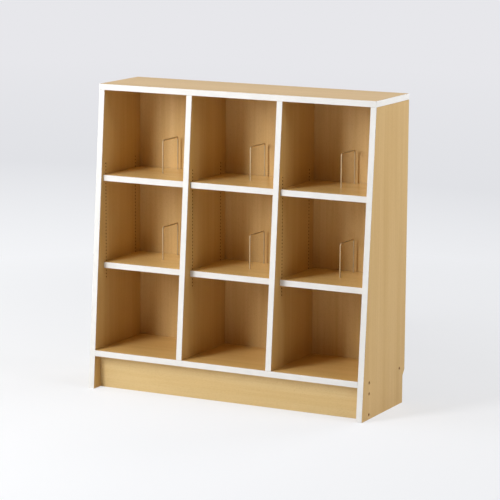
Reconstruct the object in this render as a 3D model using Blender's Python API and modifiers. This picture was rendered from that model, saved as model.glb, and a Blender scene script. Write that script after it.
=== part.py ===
"""Bookcase with a raked front: nine open bays, lift-out shelves on pins and plug-in wire bookends.

Metres, +Z up, +Y to the rear. The origin is on the floor, at the centre of the footprint.
"""

import math

import bmesh
import bpy
from mathutils import Matrix, Vector

# Overall size: the front rakes back from the floor to the top
WIDTH = 0.890
HEIGHT = 0.900
DEPTH_FLOOR = 0.295
DEPTH_TOP = 0.225

# Boards
BOARD = 0.0175
BACK_BOARD = 0.003
BACK_SETBACK = 0.012
GROOVE_DEPTH = 0.0045
EDGING = 0.001
EDGING_ROUND = 0.0004

# Foot: the kick plate is set back for toes, and the sides are notched for a baseboard
KICK_HEIGHT = 0.097
TOE_RECESS = 0.040
NOTCH_DEPTH = 0.013
NOTCH_RISE = 0.017

# Shelf pins: every upright has a front and a rear column of holes, on a grid that is counted from the floor
PIN_PITCH = 0.010
PIN_GRID_START = 0.005
PIN_ROWS_BELOW = 3
PIN_ROWS_ABOVE = 5
PIN_DIAMETER = 0.004
PIN_DEPTH = 0.010
PIN_REACH = 0.010
PIN_CHAMFER = 0.0004
PIN_SIDES = 8
PIN_HOLE_SIDES = 6
PIN_FRONT_INSET = 0.015
PIN_REAR_INSET = 0.0285

# Shelves: they share the height out evenly, each on the nearest row of pin holes below
LEVEL_NAMES = ("lower", "upper")
SHELF_SETBACK = 0.011
SHELF_END_PLAY = 0.0008
SHELF_REAR_PLAY = 0.0015
PIN_GROOVE_SPARE = 0.001

# Wire bookends
WIRE_DIAMETER = 0.004
BOOKEND_HEIGHT = 0.100
BOOKEND_LENGTH = 0.091
BOOKEND_BEND = 0.007
BOOKEND_REAR_INSET = 0.0115
BOOKEND_PLUG = 0.012
BEND_STEPS = 4
WIRE_ROUNDNESS = 2

# Screws through the sides, and dowels at the ends of the uprights
SCREW_HEAD_DIAMETER = 0.009
SCREW_HEAD_HEIGHT = 0.003
SCREW_SHANK_DIAMETER = 0.005
SCREW_LENGTH = 0.050
SCREW_SOCKET_DIAMETER = 0.0045
SCREW_SOCKET_DEPTH = 0.002
SCREW_RECESS = 0.0005
SCREW_POINT = 0.003
SCREW_SIDES = 12
SOCKET_SIDES = 6
SCREW_REAR_INSET = 0.037
KICK_SCREW_FLOOR_INSET = 0.014
KICK_SCREW_TOP_INSET = 0.023
DOWEL_DIAMETER = 0.008
DOWEL_REACH = 0.010
DOWEL_INSET = 0.040
DOWEL_SIDES = 8

# Fits: the play between boards and in bores, the glue line behind edging, and how far a cutter overshoots
GAP = 0.0003
GLUE_LINE = 0.0002
OVERSHOOT = 0.002
WELD = 0.00001
SHARP_ANGLE = math.radians(50)

BAY_NAMES = ("left", "middle", "right")
SIDE_NAMES = ("left", "right")

# Derived places
FLOOR_FRONT = -DEPTH_FLOOR / 2
REAR = DEPTH_FLOOR / 2
TOP_FRONT = REAR - DEPTH_TOP
TOP_UNDER = HEIGHT - BOARD
UPRIGHT_TOP = TOP_UNDER - GAP
BOTTOM_UNDER = KICK_HEIGHT + GAP
BOTTOM_TOP = BOTTOM_UNDER + BOARD
DIVIDER_FOOT = BOTTOM_TOP + GAP
INNER_HALF = WIDTH / 2 - BOARD
BAY_WIDTH = (WIDTH - (len(BAY_NAMES) + 1) * BOARD) / len(BAY_NAMES)
BACK_FACE = REAR - BACK_SETBACK - BACK_BOARD
RAKE = (TOP_FRONT - FLOOR_FRONT) / UPRIGHT_TOP
EDGING_RUN = EDGING * math.hypot(1, RAKE)
GLUE_RUN = GLUE_LINE * math.hypot(1, RAKE)


def front_at(height):
    """Return the y of the raked front at a height."""
    return FLOOR_FRONT + RAKE * height


def bay_centre(bay):
    """Return the x of the middle of a bay, counted from the left."""
    return -WIDTH / 2 + BOARD + BAY_WIDTH / 2 + bay * (BAY_WIDTH + BOARD)


def pin_row_height(row):
    """Return the height of the pin axes in a row of the grid."""
    return PIN_GRID_START + row * PIN_PITCH


def shelf_row(level):
    """Return the row of pins that carries a level of shelves, counted from the lowest level."""
    levels = len(LEVEL_NAMES)
    opening = (TOP_UNDER - BOTTOM_TOP - levels * BOARD) / (levels + 1)
    even_height = BOTTOM_TOP + opening + level * (opening + BOARD)
    return math.floor((even_height - PIN_GRID_START) / PIN_PITCH)


SHELF_ROWS = {name: shelf_row(level) for level, name in enumerate(LEVEL_NAMES)}
PIN_ROWS = range(min(SHELF_ROWS.values()) - PIN_ROWS_BELOW, max(SHELF_ROWS.values()) + PIN_ROWS_ABOVE + 1)
UPPER_SHELF_TOP = pin_row_height(max(SHELF_ROWS.values())) + BOARD
SHELF_FRONT = front_at(UPPER_SHELF_TOP) + SHELF_SETBACK
SHELF_REAR = BACK_FACE - SHELF_REAR_PLAY
SHELF_WIDTH = BAY_WIDTH - 2 * SHELF_END_PLAY
PIN_COLUMNS = {"front": SHELF_FRONT + PIN_FRONT_INSET, "rear": SHELF_REAR - PIN_REAR_INSET}
KICK_FRONT = FLOOR_FRONT + TOE_RECESS
KICK_MIDDLE = KICK_FRONT + BOARD / 2
BOTTOM_MIDDLE = (BOTTOM_UNDER + BOTTOM_TOP) / 2
BOTTOM_FRONT = front_at(BOTTOM_MIDDLE)
SCREW_SEATS = {
    "kick_low": (KICK_MIDDLE, KICK_SCREW_FLOOR_INSET),
    "kick_high": (KICK_MIDDLE, KICK_HEIGHT - KICK_SCREW_TOP_INSET),
    "bottom_front": (KICK_MIDDLE, BOTTOM_MIDDLE),
    "bottom_rear": (REAR - SCREW_REAR_INSET, BOTTOM_MIDDLE),
}
BOOKEND_REAR_LEG = SHELF_REAR - BOOKEND_REAR_INSET
BOOKEND_FRONT_LEG = BOOKEND_REAR_LEG - BOOKEND_LENGTH

LAMINATE = ("laminate", (0.58, 0.39, 0.16), 0.45, 0.0)
BACKING = ("backing", (0.55, 0.36, 0.15), 0.5, 0.0)
WHITE_EDGING = ("white_edging", (0.90, 0.90, 0.90), 0.4, 0.0)
CHROME = ("chrome", (0.80, 0.80, 0.82), 0.15, 1.0)
PIN_STEEL = ("pin_steel", (0.62, 0.62, 0.64), 0.3, 1.0)
BRONZED = ("bronzed_screw", (0.16, 0.09, 0.04), 0.45, 0.8)


def clear_scene():
    """Remove every object that the scene starts with."""
    for existing in list(bpy.data.objects):
        bpy.data.objects.remove(existing, do_unlink=True)


def new_collection(name):
    """Return a new collection under the scene's own."""
    collection = bpy.data.collections.new(name)
    bpy.context.scene.collection.children.link(collection)
    return collection


def material(finish):
    """Return the material of a finish, made the first time that it is asked for."""
    name, colour, roughness, metallic = finish
    existing = bpy.data.materials.get(name)
    if existing:
        return existing
    made = bpy.data.materials.new(name)
    made.use_nodes = True
    shader = made.node_tree.nodes["Principled BSDF"]
    shader.inputs["Base Color"].default_value = (*colour, 1.0)
    shader.inputs["Roughness"].default_value = roughness
    shader.inputs["Metallic"].default_value = metallic
    return made


def place(name, data, finish, location, carrier=None):
    """Add a part with its mesh or curve and finish, at a place in the bookcase, on what carries it."""
    part = bpy.data.objects.new(name, data)
    if not data.materials:
        data.materials.append(material(finish))
    PARTS.objects.link(part)
    part.parent = carrier or ROOT
    part.location = Vector(location) - part.parent.location
    return part


def mesh_from(bm, name):
    """Turn a bmesh into a named mesh and free it."""
    mesh = bpy.data.meshes.new(name)
    bm.to_mesh(mesh)
    bm.free()
    return mesh


def smoothed(mesh):
    """Shade a turned mesh smooth, apart from its sharp rims, and return it."""
    mesh.shade_smooth()
    mesh.set_sharp_from_angle(angle=SHARP_ANGLE)
    return mesh


def box_mesh(name, lows, highs):
    """Return a box between two corners, with its mesh around its own middle, and that middle."""
    size = [high - low for low, high in zip(lows, highs)]
    middle = [(low + high) / 2 for low, high in zip(lows, highs)]
    bm = bmesh.new()
    bmesh.ops.create_cube(bm, size=1, matrix=Matrix.Diagonal((*size, 1)))
    return mesh_from(bm, name), middle


def box_part(name, lows, highs, finish, carrier=None):
    """Add a square-edged board between two corners."""
    mesh, middle = box_mesh(name, lows, highs)
    return place(name, mesh, finish, middle, carrier)


def soften(part):
    """Round the long edges of a band of edging a little."""
    bevel = part.modifiers.new("soft_edge", "BEVEL")
    bevel.width = EDGING_ROUND
    bevel.segments = 1
    bevel.limit_method = "ANGLE"


def outline_part(name, outline, x_middle, finish):
    """Add an upright board from its outline of (y, z) points, as thick as a board."""
    curve = bpy.data.curves.new(name, "CURVE")
    curve.dimensions = "2D"
    curve.fill_mode = "BOTH"
    curve.extrude = BOARD / 2
    spline = curve.splines.new("POLY")
    spline.points.add(len(outline) - 1)
    for point, (y, z) in zip(spline.points, outline):
        point.co = (y, z, 0, 1)
    spline.use_cyclic_u = True
    part = place(name, welded_mesh(curve, name), finish, (x_middle, 0, 0))
    part.rotation_euler = (math.pi / 2, 0, math.pi / 2)
    return part


def welded_mesh(curve, name):
    """Return a curve's shape as one closed mesh."""
    holder = bpy.data.objects.new(name, curve)
    PARTS.objects.link(holder)
    shape = holder.evaluated_get(bpy.context.evaluated_depsgraph_get())
    mesh = bpy.data.meshes.new_from_object(shape)
    bpy.data.objects.remove(holder, do_unlink=True)
    bm = bmesh.new()
    bm.from_mesh(mesh)
    bpy.data.meshes.remove(mesh)
    bmesh.ops.remove_doubles(bm, verts=bm.verts, dist=WELD)
    bmesh.ops.recalc_face_normals(bm, faces=bm.faces)
    return mesh_from(bm, name)


def add_cutter(name, mesh, location=(0, 0, 0)):
    """Add a tool body that only shapes the parts."""
    cutter = bpy.data.objects.new(name, mesh)
    cutter.location = location
    cutter.hide_render = True
    cutter.display_type = "WIRE"
    CUTTERS.objects.link(cutter)
    return cutter


def box_cutter(name, lows, highs):
    """Add a square tool body between two corners."""
    mesh, middle = box_mesh(name, lows, highs)
    return add_cutter(name, mesh, middle)


def rods_cutter(name, axis, centres, diameter, length, sides):
    """Add a tool body of equal rods along X or Z, one around each centre."""
    turn = Matrix.Rotation(math.pi / 2, 4, "Y") if axis == "X" else Matrix.Identity(4)
    bm = bmesh.new()
    for centre in centres:
        bmesh.ops.create_cone(
            bm, cap_ends=True, segments=sides, radius1=diameter / 2, radius2=diameter / 2,
            depth=length, matrix=Matrix.Translation(centre) @ turn,
        )
    return add_cutter(name, mesh_from(bm, name))


def shape_with(part, cutter, operation="DIFFERENCE"):
    """Cut a tool body out of a part, or join it on."""
    boolean = part.modifiers.new(cutter.name, "BOOLEAN")
    boolean.operation = operation
    boolean.solver = "EXACT"
    boolean.object = cutter


def bored(diameter):
    """Return the diameter of a bore that takes a round piece with its play."""
    return diameter + 2 * GAP


def around_flats(diameter, sides):
    """Return the corner diameter of a many-sided bore whose flats clear a diameter."""
    return diameter / math.cos(math.pi / sides)


def pin_hole_centres(x):
    """Return the middles of every pin hole of an upright, on the plane of x."""
    return [(x, y, pin_row_height(row)) for y in PIN_COLUMNS.values() for row in PIN_ROWS]


def cut_pin_holes(upright, x_middle, length):
    """Bore the two columns of pin holes into an upright."""
    diameter = around_flats(bored(PIN_DIAMETER), PIN_HOLE_SIDES)
    centres = pin_hole_centres(x_middle)
    holes = rods_cutter(f"{upright.name}_pin_holes", "X", centres, diameter, length, PIN_HOLE_SIDES)
    shape_with(upright, holes)


def cut_back_groove(upright, name, face, inward):
    """Groove one face of an upright for the edge of a back panel."""
    deep = face - inward * GROOVE_DEPTH
    clear = face + inward * OVERSHOOT
    lows = (min(deep, clear), BACK_FACE - GAP, BOTTOM_TOP - GROOVE_DEPTH)
    highs = (max(deep, clear), BACK_FACE + BACK_BOARD + GAP, UPRIGHT_TOP + OVERSHOOT)
    shape_with(upright, box_cutter(name, lows, highs))


def dowel_spots(x, front):
    """Return the (x, y) of the dowels in the end of an upright with a given front."""
    return [(x, front + DOWEL_INSET), (x, REAR - DOWEL_INSET)]


def join_dowels(upright, name, spots, end, outward):
    """Join glued dowels to one end of an upright, sunk in as deep as they stand out."""
    reach_out = DOWEL_REACH - GAP
    middle = end + outward * (reach_out - DOWEL_REACH) / 2
    length = reach_out + DOWEL_REACH
    centres = [(x, y, middle) for x, y in spots]
    dowels = rods_cutter(name, "Z", centres, DOWEL_DIAMETER, length, DOWEL_SIDES)
    shape_with(upright, dowels, "UNION")


def cut_dowel_holes(board, name, spots, face, inward):
    """Bore the blind holes that take the dowels of the uprights."""
    length = DOWEL_REACH + OVERSHOOT
    middle = face + inward * (DOWEL_REACH - OVERSHOOT) / 2
    centres = [(x, y, middle) for x, y in spots]
    shape_with(board, rods_cutter(name, "Z", centres, bored(DOWEL_DIAMETER), length, DOWEL_SIDES))


def upright_middles():
    """Return the x of the middle of each upright, from left to right."""
    pitch = BAY_WIDTH + BOARD
    return [-WIDTH / 2 + BOARD / 2 + index * pitch for index in range(len(BAY_NAMES) + 1)]


def raked_edging(name, x_middle, foot):
    """Add the band of edging on the raked front of an upright."""
    outline = [
        (front_at(foot), foot),
        (front_at(UPRIGHT_TOP), UPRIGHT_TOP),
        (front_at(UPRIGHT_TOP) + EDGING_RUN, UPRIGHT_TOP),
        (front_at(foot) + EDGING_RUN, foot),
    ]
    soften(outline_part(name, outline, x_middle, WHITE_EDGING))


def board_front(height):
    """Return the front of an upright's board behind its edging."""
    return front_at(height) + EDGING_RUN + GLUE_RUN


def screw_bores(side):
    """Return the tool bodies of the screws' bores and head seats on one side of the bookcase."""
    outward = -1 if side == "left" else 1
    face = outward * WIDTH / 2
    seat = SCREW_RECESS + SCREW_HEAD_HEIGHT + GAP
    run = SCREW_RECESS + SCREW_LENGTH + GAP
    spots = SCREW_SEATS.values()
    bore_centres = [(face + outward * (OVERSHOOT - run) / 2, y, z) for y, z in spots]
    seat_centres = [(face + outward * (OVERSHOOT - seat) / 2, y, z) for y, z in spots]
    bores = rods_cutter(
        f"screw_bores_{side}", "X", bore_centres, bored(SCREW_SHANK_DIAMETER), run + OVERSHOOT, SCREW_SIDES,
    )
    seats = rods_cutter(
        f"screw_seats_{side}", "X", seat_centres, bored(SCREW_HEAD_DIAMETER), seat + OVERSHOOT, SCREW_SIDES,
    )
    return bores, seats


def add_sides(bores):
    """Add the two raked sides, notched at the rear foot, with their edging."""
    notch_low = BOTTOM_UNDER - NOTCH_RISE
    outline = [
        (board_front(0), 0),
        (board_front(UPRIGHT_TOP), UPRIGHT_TOP),
        (REAR, UPRIGHT_TOP),
        (REAR, BOTTOM_UNDER),
        (REAR - NOTCH_DEPTH, notch_low),
        (REAR - NOTCH_DEPTH, 0),
    ]
    middles = (upright_middles()[0], upright_middles()[-1])
    for side, inward, x_middle in zip(SIDE_NAMES, (1, -1), middles):
        upright = outline_part(f"side_{side}", outline, x_middle, LAMINATE)
        face = inward * -INNER_HALF
        hole_middle = face + inward * (OVERSHOOT - PIN_DEPTH - GAP) / 2
        cut_pin_holes(upright, hole_middle, PIN_DEPTH + GAP + OVERSHOOT)
        cut_back_groove(upright, f"side_{side}_back_groove", face, inward)
        for cutter in bores[side]:
            shape_with(upright, cutter)
        spots = dowel_spots(x_middle, TOP_FRONT)
        join_dowels(upright, f"side_{side}_dowels", spots, UPRIGHT_TOP, 1)
        raked_edging(f"side_edge_{side}", x_middle, 0)


def add_dividers():
    """Add the two raked dividers, which stand on the bottom panel, with their edging."""
    outline = [
        (board_front(DIVIDER_FOOT), DIVIDER_FOOT),
        (board_front(UPRIGHT_TOP), UPRIGHT_TOP),
        (REAR, UPRIGHT_TOP),
        (REAR, DIVIDER_FOOT),
    ]
    for side, x_middle in zip(SIDE_NAMES, upright_middles()[1:-1]):
        divider = outline_part(f"divider_{side}", outline, x_middle, LAMINATE)
        cut_pin_holes(divider, x_middle, BOARD + 2 * OVERSHOOT)
        for face_name, inward in (("left", -1), ("right", 1)):
            groove = f"divider_{side}_back_groove_{face_name}"
            cut_back_groove(divider, groove, x_middle + inward * BOARD / 2, inward)
        top_spots = dowel_spots(x_middle, TOP_FRONT)
        foot_spots = dowel_spots(x_middle, BOTTOM_FRONT)
        join_dowels(divider, f"divider_{side}_top_dowels", top_spots, UPRIGHT_TOP, 1)
        join_dowels(divider, f"divider_{side}_foot_dowels", foot_spots, DIVIDER_FOOT, -1)
        raked_edging(f"divider_edge_{side}", x_middle, DIVIDER_FOOT)


def add_top():
    """Add the top panel, which lies over the uprights, with edging on its front and both ends."""
    band = EDGING + GLUE_LINE
    half = WIDTH / 2
    top = box_part(
        "top_panel", (band - half, TOP_FRONT + band, TOP_UNDER), (half - band, REAR, HEIGHT), LAMINATE,
    )
    reach = INNER_HALF + GROOVE_DEPTH
    groove_lows = (-reach, BACK_FACE - GAP, TOP_UNDER - OVERSHOOT)
    groove_highs = (reach, BACK_FACE + BACK_BOARD + GAP, TOP_UNDER + GROOVE_DEPTH)
    shape_with(top, box_cutter("top_back_groove", groove_lows, groove_highs))
    spots = [spot for x in upright_middles() for spot in dowel_spots(x, TOP_FRONT)]
    cut_dowel_holes(top, "top_dowel_holes", spots, TOP_UNDER, 1)
    front = box_part(
        "top_edge_front", (-half, TOP_FRONT, TOP_UNDER), (half, TOP_FRONT + EDGING, HEIGHT), WHITE_EDGING,
    )
    soften(front)
    for side, outer in zip(SIDE_NAMES, (-half, half - EDGING)):
        lows = (outer, TOP_FRONT + band, TOP_UNDER)
        highs = (outer + EDGING, REAR, HEIGHT)
        soften(box_part(f"top_edge_{side}", lows, highs, WHITE_EDGING))


def add_bottom(bores):
    """Add the bottom panel with its edging, and the kick plate below it."""
    reach = INNER_HALF - GAP
    board_lows = (-reach, BOTTOM_FRONT + EDGING + GLUE_LINE, BOTTOM_UNDER)
    bottom = box_part("bottom_panel", board_lows, (reach, REAR, BOTTOM_TOP), LAMINATE)
    groove_lows = (-reach - OVERSHOOT, BACK_FACE - GAP, BOTTOM_TOP - GROOVE_DEPTH)
    groove_highs = (reach + OVERSHOOT, BACK_FACE + BACK_BOARD + GAP, BOTTOM_TOP + OVERSHOOT)
    shape_with(bottom, box_cutter("bottom_back_groove", groove_lows, groove_highs))
    spots = [spot for x in upright_middles()[1:-1] for spot in dowel_spots(x, BOTTOM_FRONT)]
    cut_dowel_holes(bottom, "bottom_dowel_holes", spots, BOTTOM_TOP, -1)
    edge_highs = (reach, BOTTOM_FRONT + EDGING, BOTTOM_TOP)
    soften(box_part("bottom_edge", (-reach, BOTTOM_FRONT, BOTTOM_UNDER), edge_highs, WHITE_EDGING))
    kick_highs = (reach, KICK_FRONT + BOARD, KICK_HEIGHT)
    kick = box_part("kick_plate", (-reach, KICK_FRONT, 0), kick_highs, LAMINATE)
    for side in SIDE_NAMES:
        shaft_bores = bores[side][0]
        shape_with(bottom, shaft_bores)
        shape_with(kick, shaft_bores)


def add_backs():
    """Add a thin back panel in the grooves of each bay."""
    reach = BAY_WIDTH / 2 + GROOVE_DEPTH - GAP
    for bay, bay_name in enumerate(BAY_NAMES):
        x = bay_centre(bay)
        lows = (x - reach, BACK_FACE, BOTTOM_TOP - GROOVE_DEPTH + GAP)
        highs = (x + reach, BACK_FACE + BACK_BOARD, TOP_UNDER + GROOVE_DEPTH - GAP)
        box_part(f"back_panel_{bay_name}", lows, highs, BACKING)


def pin_mesh(name, length):
    """Return a chamfered shelf pin along X, around its middle."""
    bm = bmesh.new()
    bmesh.ops.create_cone(
        bm, cap_ends=True, segments=PIN_SIDES, radius1=PIN_DIAMETER / 2, radius2=PIN_DIAMETER / 2,
        depth=length, matrix=Matrix.Rotation(math.pi / 2, 4, "Y"),
    )
    rims = [edge for edge in bm.edges if any(len(face.verts) == PIN_SIDES for face in edge.link_faces)]
    bmesh.ops.bevel(bm, geom=rims, offset=PIN_CHAMFER, segments=1, affect="EDGES")
    return smoothed(mesh_from(bm, name))


def add_pins():
    """Add short pins in the sides, and long ones right through the dividers, under every shelf."""
    short = pin_mesh("short_pin", PIN_DEPTH + PIN_REACH)
    long = pin_mesh("long_pin", BOARD + 2 * PIN_REACH)
    shift = (PIN_REACH - PIN_DEPTH) / 2
    middles = upright_middles()
    uprights = {
        "side_left": (short, shift - INNER_HALF),
        "divider_left": (long, middles[1]),
        "divider_right": (long, middles[2]),
        "side_right": (short, INNER_HALF - shift),
    }
    for upright, (mesh, x) in uprights.items():
        for level, row in SHELF_ROWS.items():
            for column, y in PIN_COLUMNS.items():
                place(f"pin_{upright}_{level}_{column}", mesh, PIN_STEEL, (x, y, pin_row_height(row)))


def screw_mesh():
    """Return a furniture screw along Z, with the socketed face of its head up, at the origin."""
    head = SCREW_HEAD_DIAMETER / 2
    shank = SCREW_SHANK_DIAMETER / 2
    profile = [
        (0, 0),
        (head, 0),
        (head, -SCREW_HEAD_HEIGHT),
        (shank, -SCREW_HEAD_HEIGHT),
        (shank, SCREW_POINT - SCREW_LENGTH),
        (0, -SCREW_LENGTH),
    ]
    bm = bmesh.new()
    points = [bm.verts.new((radius, 0, height)) for radius, height in profile]
    for start, end in zip(points, points[1:]):
        bm.edges.new((start, end))
    turned = add_cutter("turned_screw", mesh_from(bm, "turned_screw"))
    screw = turned.modifiers.new("turn", "SCREW")
    screw.steps = SCREW_SIDES
    screw.render_steps = SCREW_SIDES
    screw.use_merge_vertices = True
    screw.merge_threshold = WELD
    socket = rods_cutter(
        "screw_socket", "Z", [(0, 0, (OVERSHOOT - SCREW_SOCKET_DEPTH) / 2)],
        SCREW_SOCKET_DIAMETER, SCREW_SOCKET_DEPTH + OVERSHOOT, SOCKET_SIDES,
    )
    shape_with(turned, socket)
    shape = turned.evaluated_get(bpy.context.evaluated_depsgraph_get())
    mesh = bpy.data.meshes.new_from_object(shape)
    mesh.materials.clear()
    for tool in (turned, socket):
        bpy.data.objects.remove(tool, do_unlink=True)
    return smoothed(mesh)


def add_screws():
    """Add the screws that hold the sides to the bottom panel and the kick plate."""
    mesh = screw_mesh()
    for side, outward in zip(SIDE_NAMES, (-1, 1)):
        for seat, (y, z) in SCREW_SEATS.items():
            x = outward * (WIDTH / 2 - SCREW_RECESS)
            screw = place(f"screw_{side}_{seat}", mesh, BRONZED, (x, y, z))
            screw.rotation_euler = (0, outward * math.pi / 2, 0)


def bookend_curve():
    """Return the bent wire of a bookend: two legs and a bar, in the YZ plane, from its shelf's top."""
    high = BOOKEND_HEIGHT - WIRE_DIAMETER / 2
    half = BOOKEND_LENGTH / 2
    rear_bend = []
    for step in range(BEND_STEPS + 1):
        angle = math.pi / 2 * step / BEND_STEPS
        along = half - BOOKEND_BEND * (1 - math.cos(angle))
        rear_bend.append((along, high - BOOKEND_BEND * (1 - math.sin(angle))))
    foot = GAP - BOOKEND_PLUG
    rear_half = [(half, foot)] + rear_bend
    path = rear_half + [(-y, z) for y, z in reversed(rear_half)]
    curve = bpy.data.curves.new("bookend_wire", "CURVE")
    curve.dimensions = "3D"
    curve.bevel_depth = WIRE_DIAMETER / 2
    curve.bevel_resolution = WIRE_ROUNDNESS
    curve.use_fill_caps = True
    spline = curve.splines.new("POLY")
    spline.points.add(len(path) - 1)
    for point, (y, z) in zip(spline.points, path):
        point.co = (0, y, z, 1)
    return curve


def cut_pin_grooves(shelf, x, under):
    """Cut the half-round seats by which a shelf sits down over its four pins."""
    groove = PIN_REACH - SHELF_END_PLAY + PIN_GROOVE_SPARE
    offset = SHELF_WIDTH / 2 - (groove - OVERSHOOT) / 2
    centres = [(end, y, under) for end in (x - offset, x + offset) for y in PIN_COLUMNS.values()]
    name = f"{shelf.name}_pin_grooves"
    shape_with(shelf, rods_cutter(name, "X", centres, bored(PIN_DIAMETER), groove + OVERSHOOT, PIN_SIDES))


def cut_plug_holes(shelf, x, top):
    """Bore the two blind holes that take the legs of a bookend."""
    middle = top + (OVERSHOOT - BOOKEND_PLUG) / 2
    legs = [(x, y, middle) for y in (BOOKEND_FRONT_LEG, BOOKEND_REAR_LEG)]
    name = f"{shelf.name}_plug_holes"
    shape_with(shelf, rods_cutter(name, "Z", legs, bored(WIRE_DIAMETER), BOOKEND_PLUG + OVERSHOOT, PIN_SIDES))


def add_shelf(label, x, under, wire):
    """Add a lift-out shelf over its pins, with its edging and its bookend."""
    half = SHELF_WIDTH / 2
    top = under + BOARD
    board_lows = (x - half, SHELF_FRONT + EDGING + GLUE_LINE, under)
    shelf = box_part(f"shelf_{label}", board_lows, (x + half, SHELF_REAR, top), LAMINATE)
    cut_pin_grooves(shelf, x, under)
    cut_plug_holes(shelf, x, top)
    edge_highs = (x + half, SHELF_FRONT + EDGING, top)
    soften(box_part(f"shelf_edge_{label}", (x - half, SHELF_FRONT, under), edge_highs, WHITE_EDGING, shelf))
    leg_middle = (BOOKEND_FRONT_LEG + BOOKEND_REAR_LEG) / 2
    place(f"bookend_{label}", wire, CHROME, (x, leg_middle, top), shelf)


def add_shelves():
    """Add a shelf in every bay, at every level."""
    wire = bookend_curve()
    for level, row in SHELF_ROWS.items():
        for bay, bay_name in enumerate(BAY_NAMES):
            add_shelf(f"{level}_{bay_name}", bay_centre(bay), pin_row_height(row), wire)


clear_scene()
PARTS = new_collection("bookcase")
CUTTERS = new_collection("bookcase_tool_bodies")
ROOT = bpy.data.objects.new("bookcase_frame", None)
PARTS.objects.link(ROOT)
SCREW_BORES = {name: screw_bores(name) for name in SIDE_NAMES}
add_sides(SCREW_BORES)
add_dividers()
add_top()
add_bottom(SCREW_BORES)
add_backs()
add_pins()
add_screws()
add_shelves()
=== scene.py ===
"""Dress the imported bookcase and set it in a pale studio.

The level boards, the kick plate, the backs and the edge bands keep their solids and get finishes of their
own. Finer pieces stand for the bored uprights, the wire bookends, the shelf pins and the screws.
"""

import logging
import math
from dataclasses import dataclass, field
from enum import Enum
from typing import Iterator

import bmesh
import bpy
from mathutils import Color, Matrix, Vector


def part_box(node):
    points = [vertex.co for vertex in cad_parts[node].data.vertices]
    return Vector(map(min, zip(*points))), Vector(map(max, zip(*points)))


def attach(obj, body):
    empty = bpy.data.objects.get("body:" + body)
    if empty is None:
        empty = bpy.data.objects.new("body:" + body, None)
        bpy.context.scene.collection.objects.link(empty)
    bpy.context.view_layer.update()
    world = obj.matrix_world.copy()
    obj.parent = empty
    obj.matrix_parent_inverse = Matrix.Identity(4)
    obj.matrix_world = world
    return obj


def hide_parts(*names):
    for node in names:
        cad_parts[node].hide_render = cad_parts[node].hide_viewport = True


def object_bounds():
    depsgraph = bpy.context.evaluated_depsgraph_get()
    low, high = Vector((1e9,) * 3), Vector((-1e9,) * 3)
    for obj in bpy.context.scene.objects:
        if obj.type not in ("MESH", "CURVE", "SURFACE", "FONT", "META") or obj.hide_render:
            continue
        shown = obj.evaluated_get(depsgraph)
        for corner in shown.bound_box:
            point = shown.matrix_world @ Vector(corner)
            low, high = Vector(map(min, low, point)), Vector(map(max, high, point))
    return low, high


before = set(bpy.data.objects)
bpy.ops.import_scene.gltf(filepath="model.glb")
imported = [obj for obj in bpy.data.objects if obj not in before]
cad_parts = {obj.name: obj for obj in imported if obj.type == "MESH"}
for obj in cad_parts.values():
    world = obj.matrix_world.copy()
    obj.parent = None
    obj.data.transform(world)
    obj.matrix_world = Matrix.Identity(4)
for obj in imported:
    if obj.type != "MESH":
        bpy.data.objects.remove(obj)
CAD_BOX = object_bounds()

LOG = logging.getLogger("bookcase")
CHANNEL_FULL = 255

Triple = tuple[float, float, float]
Colour = Triple
Profile = list[tuple[float, float]]
Ring = list[Vector]
Source = bpy.types.NodeSocket | float | tuple[float, ...]


class Axis(Enum):
    """An axis of the bookcase, by its place in a vector: X to the right, Y to the rear and Z up."""

    X = 0
    Y = 1
    Z = 2


class Slot(Enum):
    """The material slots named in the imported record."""

    LAMINATE = "laminate"
    CHROME = "chrome"
    PIN = "pin_steel"
    SCREW = "bronzed_screw"


class Bay(Enum):
    """The three bays between the uprights."""

    LEFT = "left"
    MIDDLE = "middle"
    RIGHT = "right"


class Level(Enum):
    """The two levels that carry lift-out shelves."""

    UPPER = "upper"
    LOWER = "lower"


class Column(Enum):
    """The two columns of pin holes on an upright."""

    FRONT = "front"
    REAR = "rear"


class Side(Enum):
    """The two outer sides, by which way each looks along X."""

    LEFT = -1
    RIGHT = 1


def display(red: int, green: int, blue: int) -> Colour:
    """Turn a colour as a screen shows it, 0 to 255, into linear light.

    Args:
        red: Red as displayed.
        green: Green as displayed.
        blue: Blue as displayed.

    Returns:
        The same colour in linear light, 0 to 1.
    """
    shown = Color((red / CHANNEL_FULL, green / CHANNEL_FULL, blue / CHANNEL_FULL))
    return tuple(shown.from_srgb_to_scene_linear())


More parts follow.
